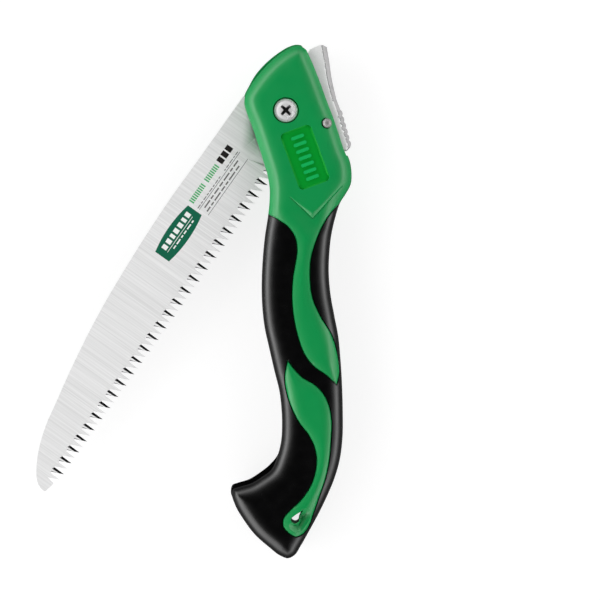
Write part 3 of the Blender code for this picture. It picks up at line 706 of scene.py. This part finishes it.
def teeth():
    """Each tooth's number, its place and the length of its base."""
    at = FIRST_TOOTH
    for k in range(TOOTH_COUNT):
        yield k, at, 3.35 - 0.4 * k / TOOTH_COUNT
        at += PITCH_AT_HANDLE + (PITCH_AT_TIP - PITCH_AT_HANDLE) * k / (TOOTH_COUNT - 1)


def tooth_points(at, base):
    """A tooth's two feet and tip, and the inner corners of its two ground flanks."""
    gullet = TOOTH_LINE - TOOTH_HEIGHT
    return {"foot": (at + base, gullet), "tip": (at + 0.1, TOOTH_LINE), "heel": (at - 0.1, gullet),
            "inner_heel": (at + 1.25, gullet - 0.7), "inner_foot": (at + base - 0.5, gullet - 0.3),
            "ridge": (at + 1.15, TOOTH_LINE - 2.1)}


def blade_outline():
    """The round root, the notch for the lock, the back and the teeth."""
    root = arc((0, 0), 15, 93, 264, 60)
    spine = smooth(SPINE_CURVE, 2.0, closed=False)
    edge = []
    for _, at, base in reversed(list(teeth())):
        points = tooth_points(at, base)
        edge += [points["foot"], points["tip"], points["heel"]]
    return np.concatenate([root, ROOT_SPINE, NOTCH, spine, edge, HEEL])


def block(low, high, bottom, top):
    """A rectangle's corners."""
    return np.array([(low, bottom), (high, bottom), (high, top), (low, top)], float)


def blocks(start, end, bottom, top, lengths, gap):
    """A row of plain blocks whose lengths repeat in turn."""
    made, at, k = [], start, 0
    while at + lengths[k % len(lengths)] <= end:
        length = lengths[k % len(lengths)]
        made.append(block(at, at + length, bottom, top))
        at, k = at + length + gap, k + 1
    return made


def print_areas():
    """Plain printed areas on the near face: a barrel-shaped panel, rows of blocks, and rules."""
    side = np.linspace(-1, 1, 13)
    x, y = PANEL_CENTRE
    along, bulge = PANEL_HALF_LENGTH * side, PANEL_HALF_HEIGHT + PANEL_BULGE * (1 - side**2)
    panel = np.concatenate([np.stack([x + along, y + bulge], 1), np.stack([x - along, y - bulge], 1)])
    areas = [(panel, "dark green")]
    rows = [("white", blocks(78, 104, -13.4, -10.2, (2.6, 2.0, 2.6), 1.3)),
            ("white", [block(78.5, 103, -9.1, -8.8)]),
            ("white", blocks(80, 101, -7.7, -6.9, (1.6, 3.4, 2.2), 1.0)),
            ("bright green", blocks(47, 58.5, -15.9, -12.7, (0.85,), 0.55)),
            ("bright green", blocks(60.2, 73, -15.9, -12.7, (0.85,), 0.55)),
            ("black", blocks(34, 45.3, -16.4, -12.3, (3.0,), 0.95)),
            ("grey", [block(33.4, 73, -8.3, -8.0), block(34, 72.8, -2.4, -2.1)]),
            ("grey", blocks(34, 48, -9.5, -9.0, (2.2, 1.2, 3.0), 0.8)),
            ("grey", blocks(51, 73, -9.5, -9.0, (1.5, 2.6), 0.8)),
            ("grey", blocks(38, 73, -6.7, -5.9, (4.1, 2.4, 5.2, 3.1), 1.0)),
            ("grey", blocks(40, 73, -4.4, -3.6, (3.2, 5.6, 2.3), 1.0))]
    return areas + [(area, ink) for ink, row in rows for area in row]


def bush_hole():
    """The round hole in the blade's root."""
    return arc((0, 0), BUSH_HOLE, count=48)


def blade_face(outline, up):
    """One face: its triangles, each point's height over the middle plane, and each triangle's material."""
    looks = list(BLADE_LOOKS)
    loops = [(outline, True), (bush_hole(), True)]
    ground = [tooth_points(at, base) for k, at, base in teeth() if (k % 2 == 0) == (up > 0)]
    areas = [(area, looks.index(ink)) for area, ink in print_areas()] if up > 0 else []
    loops += [(area, True) for area, _ in areas]
    for points in ground:
        line = [points[key] for key in ("heel", "inner_heel", "ridge", "inner_foot", "foot")]
        loops += [(np.array(line), False), (np.array([points["ridge"], points["tip"]]), False)]
        # Each shown tooth's two bevel flanks get painted shade: near black on the heel side and grey on the
        # foot side.
        for look, keys in (("shaded flank", ("heel", "tip", "ridge", "inner_heel")),
                           ("ground flank", ("foot", "tip", "ridge", "inner_foot"))):
            areas.append((np.array([points[key] for key in keys]), looks.index(look)))
    verts, triangles = triangulate(np.zeros((0, 2)), loops)
    centres = verts[triangles].mean(1)
    keep = inside(centres, outline) & (np.linalg.norm(centres, axis=1) > BUSH_HOLE - 0.05)
    triangles, centres = triangles[keep], centres[keep]
    heights = np.full(len(verts), BLADE_HALF)
    for points in ground:
        for key, height in (("foot", -0.35), ("tip", -0.5), ("heel", -0.5)):
            heights[np.linalg.norm(verts - np.array(points[key]), axis=1) < 1e-3] = height
    slots = np.zeros(len(triangles), int)
    for area, slot in areas:
        slots[inside(centres, area)] = slot
    return verts, triangles, heights * up, slots


def make_blade():
    """The blade: its two faces, joined round the outline and round the bush's hole."""
    outline = blade_outline()
    bm = bmesh.new()
    rims = []
    for up in (1, -1):
        spots, triangles, heights, slots = blade_face(outline, up)
        verts = [bm.verts.new(p) for p in to_world(spots @ BLADE_TURN.T, MID + heights)]
        for face, slot in zip(triangles, slots):
            made = bm.faces.new([verts[k] for k in face])
            made.material_index = int(slot)
        rims.append((spots, verts))
    for line in (outline, bush_hole()):
        near, far = ([verts[nearest(spots, p)] for p in line] for spots, verts in rims)
        for k in range(len(line)):
            bm.faces.new([near[k - 1], near[k], far[k], far[k - 1]])
    drop_loose(bm)
    place(make_object("blade_plate", bm, 15), "blade", "blade", *BLADE_LOOKS.values())


make_blade()

# ---------------------------------------------------------------- lock lever

# Places on the lever: from its pin, in the head's own X and Y.
LEVER_HALF, LEVER_WALL, LEVER_BORE = 6.0, 1.6, 2.3
LEVER_BACK = [(-42.5, 5.6, SHARP), (-42.2, 13.2), (-40.6, 14.9, SHARP), (-33.6, 13.6), (-22.6, 11.3),
              (-11.2, 9.8, SHARP)]
PAD_START, PAD_END, LEVER_RIBS, RIB_HEIGHT = (-4.8, 9.9), (16.4, 8.2), 6, 0.7
LEVER_INSIDE = [(17.6, 5.4, SHARP), (16.6, 3.0, SHARP), (6.6, 2.6, SHARP), (4.2, -2.8), (0, -4.6),
                (-4.2, -2.8), (-6.4, 3.0, SHARP), (-40.5, 3.4, SHARP)]
LEVER_CHANNEL = [(-44, -8), (-44, 6), (-40.4, 6), (-40.4, 11.6), (-33.4, 11.6), (-22.4, 9.3), (-11, 7.8),
                 (14, 6.2), (14, -8)]
LEVER_CORNER = -40.7                # the slanted strip along the back ends here, at the nose
STRIP_WIDE, STRIP_NARROWING = 2.9, 1.1
STRIP_DROP, STRIP_GROOVE, STRIP_GROOVE_HALF = 1.9, 0.5, 0.4
STRIP_ROWS = (0.1, 0.3, 0.5, 0.7, 0.86, 1.0, 1.14, 1.3)     # rows of points along it, over its width
RIB_SHAPE = ((0, 0), (0.2, 0.8), (0.35, 1), (0.6, 1), (0.75, 0.8), (0.95, 0))    # shares of pitch and height
LOCK_TOOTH = [(-19.3, 10), (-17.3, 10), (-17.3, 4.3), (-19.3, 4.3)]


def lever_lines():
    """The lever's outline, and the part of it that is its back."""
    back = smooth(LEVER_BACK, 1.0, closed=False)
    start, end = np.array(PAD_START), np.array(PAD_END)
    ribs = []
    for k in range(LEVER_RIBS):
        for share, lift in RIB_SHAPE:
            ribs.append(start + (end - start) * (k + share) / LEVER_RIBS + (0, RIB_HEIGHT * lift))
    back = np.concatenate([back, ribs, [PAD_END]])
    return np.concatenate([back, smooth(LEVER_INSIDE, 1.0, closed=False)]), back


def in_lever(line):
    """The lever's own places, as places round the pivot."""
    return (np.asarray(line, float) + PIN_IN_HEAD) @ HEAD_TURN.T


def back_strip(spots):
    """The width of the slanted strip along the lever's back. It narrows from the nose to the pad's end."""
    return STRIP_WIDE - STRIP_NARROWING * np.clip((spots[:, 0] + 42) / 58, 0, 1)


def make_lever():
    """The lever: a channel section with a slanted strip along both sides of its back, and the lock tooth."""
    outline, back = lever_lines()
    back = back[back[:, 0] > LEVER_CORNER]
    rows = [beside(back, back_strip(back) * share, False) for share in STRIP_ROWS]
    spots = np.concatenate(rows + [hex_grid(outline, 1.2)])
    spots = spots[inside(spots, outline)]
    spots = thin(spots[distance(spots, outline) > 0.12], 0.2)
    verts, triangles = triangulate(spots, [(outline, True)])
    triangles = triangles[inside(verts[triangles].mean(1), outline)]
    strip = back_strip(verts)
    off = distance(verts, back, False)
    drop = STRIP_DROP * ease(1 - off / strip)
    drop += STRIP_GROOVE * np.clip(1 - np.abs(off - strip) / STRIP_GROOVE_HALF, 0, 1)
    bm = bmesh.new()
    near, far = ([bm.verts.new(p) for p in to_world(in_lever(verts), MID + up * (LEVER_HALF - drop))]
                 for up in (1, -1))
    for layer in (near, far):
        for face in triangles:
            bm.faces.new([layer[k] for k in face])
    order = [nearest(verts, p) for p in outline]
    for k in range(len(order)):
        a, b = order[k - 1], order[k]
        if a != b:
            bm.faces.new([near[a], near[b], far[b], far[a]])
    drop_loose(bm)
    lever = make_object("lock_lever_cast", bm, 40)
    inner = LEVER_HALF - LEVER_WALL
    cut(lever, [prism("channel", in_lever(LEVER_CHANNEL), MID - inner, MID + inner)])
    cut(lever, [prism("tooth", in_lever(LOCK_TOOTH), MID - inner - 0.5, MID + inner + 0.5)], "UNION")
    cut(lever, [prism("bore", arc(PIN, LEVER_BORE, count=48), 0, THICKNESS)])
    place(lever, "lock_lever", "lock_lever", ALLOY, ALLOY_BACK_SHADE)
    # Faces on the back strip get the darker alloy, a painted shade.
    centres = np.array([tuple(f.center) for f in lever.data.polygons])
    flat = ((centres[:, :2] - np.array(PIVOT)[:2]) / MM) @ HEAD_TURN - PIN_IN_HEAD
    on_strip = distance(flat, back, False) < back_strip(flat)
    lever.data.polygons.foreach_set("material_index", on_strip.astype(np.int32))


make_lever()

# ---------------------------------------------------------------- bolts, pins, screws and spring


def cross_cutter(centre, face, reach, depth, up, half=0.78):
    """A tapered cross-shaped driver recess. Its arms are twice half wide at the face."""
    bm = bmesh.new()
    layers = []
    for height, share in ((face + up * 0.5, 1.05), (face - up * depth, 0.5)):
        ring = []
        for k in range(4):
            arm, side = turn(45 + 90 * k), half * (0.45 + 0.55 * share)
            ring += [arm @ spot for spot in ((reach * share, -side), (reach * share, side), (side * 1.25,) * 2)]
        layers.append([bm.verts.new(p) for p in to_world(np.array(ring) + centre, [height] * 12)])
    for k in range(12):
        bm.faces.new([layers[0][k - 1], layers[0][k], layers[1][k], layers[1][k - 1]])
    for layer in layers:
        bm.faces.new(layer)
    return make_object("cross", bm)


def cut_cross(piece, cutter):
    """Cuts the driver recess, whose faces are coloured darker than the polished head as painted shade."""
    piece.data.materials.append(CHROME)
    piece.data.materials.append(RECESS_PAINTED_SHADE)
    cutter.data.materials.append(RECESS_PAINTED_SHADE)
    cut(piece, [cutter], materials="TRANSFER")


def make_bolt():
    """The pivot bolt, whose domed head has a rolled rim, and its nut on the far side."""
    top = THICKNESS + 0.45
    bolt = lathe("pivot_bolt_turned",
                 [(0, top), (1.2, top - 0.06), (2.4, top - 0.24), (3.6, top - 0.55), (4.6, top - 0.93),
                  (5.4, top - 1.33), (5.7, top - 1.42), (6.1, top - 1.32), (6.45, top - 1.5), (6.68, top - 1.8),
                  (6.7, top - 2.4), (6.7, top - 3.9), (3, top - 4), (3, 5.2), (0, 5.2)])
    cut_cross(bolt, cross_cutter((0, 0), top, 4.4, 1.9, 1))
    place(bolt, "handle", "pivot_bolt")
    nut = lathe("pivot_nut_turned",
                [(3.3, 10.6), (4, 10.6), (4, 3.7), (6.9, 3.6), (6.9, 1.6), (6.7, 1.1), (6.2, 0.75), (3.6, 0.7),
                 (3.3, 1.0)])
    place(nut, "handle", "pivot_nut", CHROME)


def make_pin():
    """The lever's pin, domed on the near side."""
    top = THICKNESS + 0.55
    pin = lathe("lever_pin_turned",
                [(0, top), (0.8, top - 0.08), (1.5, top - 0.35), (2.1, top - 0.8), (2.5, top - 1.4),
                 (2.72, top - 2.1), (2, top - 2.12), (2, 1.6), (2.85, 1.6), (2.85, 0.9), (2.4, 0.55), (0, 0.5)],
                PIN, 64)
    place(pin, "handle", "lever_pin", DOMED)


def make_screws():
    """The five screws, put in from the far side."""
    for k, spot in enumerate(SCREWS, 1):
        screw = lathe(f"handle_screw_{k}_turned",
                      [(0, MID + 5.4), (1.5, MID + 5.4), (1.5, 3.8), (2.8, 3.8), (2.8, 2.7), (2.55, 2.2),
                       (2.0, 1.95), (0, 1.9)], spot, 48)
        cut_cross(screw, cross_cutter(spot, 1.9, 1.8, 1.0, -1, 0.35))
        place(screw, "handle", f"handle_screw_{k}")


SPRING_TURNS, TURN_STEPS = 5.5, 28
SPRING_ALONG, SPRING_LOW, SPRING_HIGH = 25.2, 12.2, 24.6    # the head's own X, and Y at its two ends
SPRING_RADIUS, WIRE_RADIUS, SPRING_KEEP = 2.5, 0.4, 0.9


def make_spring():
    """The coil under the lever's tail, made at one length; the real one shortens as the tail goes in."""
    last = int(SPRING_TURNS * TURN_STEPS)
    curve = bpy.data.curves.new("lever_spring_wire", "CURVE")
    curve.dimensions = "3D"
    curve.bevel_depth, curve.bevel_resolution, curve.use_fill_caps = WIRE_RADIUS * MM, 3, True
    spline = curve.splines.new("POLY")
    spline.points.add(last)
    for k, point in enumerate(spline.points):
        angle = 2 * math.pi * k / TURN_STEPS
        across = SPRING_LOW + (SPRING_HIGH - SPRING_LOW) * k / last
        flat = np.array([[SPRING_ALONG + SPRING_RADIUS * math.cos(angle), across]]) @ HEAD_TURN.T
        point.co = (*to_world(flat, [MID + SPRING_RADIUS * math.sin(angle)])[0], 1)
    wire = bpy.data.objects.new("lever_spring_wire", curve)
    bpy.context.scene.collection.objects.link(wire)
    bpy.context.view_layer.update()
    mesh = bpy.data.meshes.new_from_object(wire.evaluated_get(bpy.context.evaluated_depsgraph_get()))
    bpy.data.objects.remove(wire)
    coil = bpy.data.objects.new("lever_spring_coil", mesh)
    bpy.context.scene.collection.objects.link(coil)
    shade(coil, 60)
    place(coil, "handle", "lever_spring", STEEL)
    anchor = to_world(np.array([[SPRING_ALONG, SPRING_LOW]]) @ HEAD_TURN.T, [MID])[0]
    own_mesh(coil)


make_bolt()
make_pin()
make_screws()
make_spring()

HIDDEN_LOOKS = ((["pivot_bush", "near_washer", "far_washer"], BRONZE),
                (["spring_washer", "blade_stop_pin"], STEEL),
                ([f"threaded_insert_{k}" for k in range(1, 6)], BRASS))
for names, look in HIDDEN_LOOKS:
    for name in names:
        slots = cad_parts[name].data.materials
        slots.clear()
        slots.append(look)

# ---------------------------------------------------------------- floor, light and camera

FLOOR_HALF, FLOOR_THICKNESS = 1500, 2.0
FLOOR_GREY, FLOOR_GLOW = 0.3, 0.78
LIGHT_DISTANCE = 1.3                # metres
WORLD_BAND = ((-1, 0.05), (-0.25, 0.05), (-0.02, 0.34), (0.1, 0.42), (0.2, 1), (0.37, 1), (0.52, 0.5),
              (0.66, 0.15), (0.82, 0.02), (1, 0.003))       # height of the direction, and share of the strength
WORLD_ENDS, WORLD_SIDES, WORLD_LEAN = 2.15, 4.8, -0.7      # strength along Y, along X, and its tilt to one side
CAMERA_AT = (7.9, -105.9, 1408)     # from the pivot, and over the middle plane
CAMERA_LENS, CAMERA_SENSOR = 150, 36

floor = prism("floor", block(-FLOOR_HALF, FLOOR_HALF, -FLOOR_HALF, FLOOR_HALF), -FLOOR_THICKNESS, 0.0)
pale = Look("pale_floor", (FLOOR_GREY,) * 3, 1.0, 0, 0.0)
pale.shader.inputs["Emission Color"].default_value = (1, 1, 1, 1)
pale.shader.inputs["Emission Strength"].default_value = FLOOR_GLOW
floor.data.materials.append(pale.material)
floor.visible_glossy = floor.visible_diffuse = floor.visible_shadow = False


def area_light(name, azimuth, elevation, size, brightness):
    """A soft rectangular light that faces the object, its size in metres and its place in degrees."""
    data = bpy.data.lights.new(name, "AREA")
    data.shape, data.size, data.size_y = "RECTANGLE", *size
    data.energy = brightness * math.pi * size[0] * size[1]
    made = bpy.data.objects.new(name, data)
    bpy.context.scene.collection.objects.link(made)
    a, e = math.radians(azimuth), math.radians(elevation)
    direction = Vector((math.cos(a) * math.cos(e), math.sin(a) * math.cos(e), math.sin(e)))
    made.location = direction * LIGHT_DISTANCE
    made.rotation_euler = direction.to_track_quat("Z", "Y").to_euler()


area_light("lower_left_light", 227, 34, (0.7, 0.4), 2.2)


def make_world():
    """A studio's soft light from all round, in a band above the horizon. The ceiling and ground are dim."""
    world = bpy.data.worlds.new("studio")
    world.use_nodes = True
    nodes, links = world.node_tree.nodes, world.node_tree.links
    background = nodes["Background"]
    split = nodes.new("ShaderNodeSeparateXYZ")
    links.new(nodes.new("ShaderNodeTexCoord").outputs["Generated"], split.inputs["Vector"])

    height = nodes.new("ShaderNodeMapRange")
    height.inputs["From Min"].default_value = -1
    links.new(split.outputs["Z"], height.inputs["Value"])
    ramp = nodes.new("ShaderNodeValToRGB")
    elements = ramp.color_ramp.elements
    for z, value in WORLD_BAND[1:-1]:
        elements.new((z + 1) / 2).color = (value, value, value, 1)
    for end in (0, -1):
        elements[end].color = (*[WORLD_BAND[end][1]] * 3, 1)
    ramp.color_ramp.interpolation = "LINEAR"
    links.new(height.outputs["Result"], ramp.inputs["Fac"])
    links.new(ramp.outputs["Color"], background.inputs["Color"])

    square = nodes.new("ShaderNodeMath")
    square.operation = "MULTIPLY"
    for socket in square.inputs[:2]:
        links.new(split.outputs["X"], socket)
    strength = nodes.new("ShaderNodeMapRange")
    strength.inputs["To Min"].default_value, strength.inputs["To Max"].default_value = WORLD_ENDS, WORLD_SIDES
    links.new(square.outputs["Value"], strength.inputs["Value"])
    lean = nodes.new("ShaderNodeMath")
    lean.operation = "MULTIPLY_ADD"
    lean.inputs[1].default_value = WORLD_LEAN
    links.new(split.outputs["X"], lean.inputs[0])
    links.new(strength.outputs["Result"], lean.inputs[2])
    links.new(lean.outputs["Value"], background.inputs["Strength"])
    bpy.context.scene.world = world


make_world()

camera_data = bpy.data.cameras.new("camera")
camera_data.lens, camera_data.sensor_width = CAMERA_LENS, CAMERA_SENSOR
camera = bpy.data.objects.new("camera", camera_data)
bpy.context.scene.collection.objects.link(camera)
camera.location = PIVOT + (Vector(CAMERA_AT) + Vector((0, 0, MID))) * MM
bpy.context.scene.camera = camera
bpy.context.scene.view_settings.view_transform = "Standard"
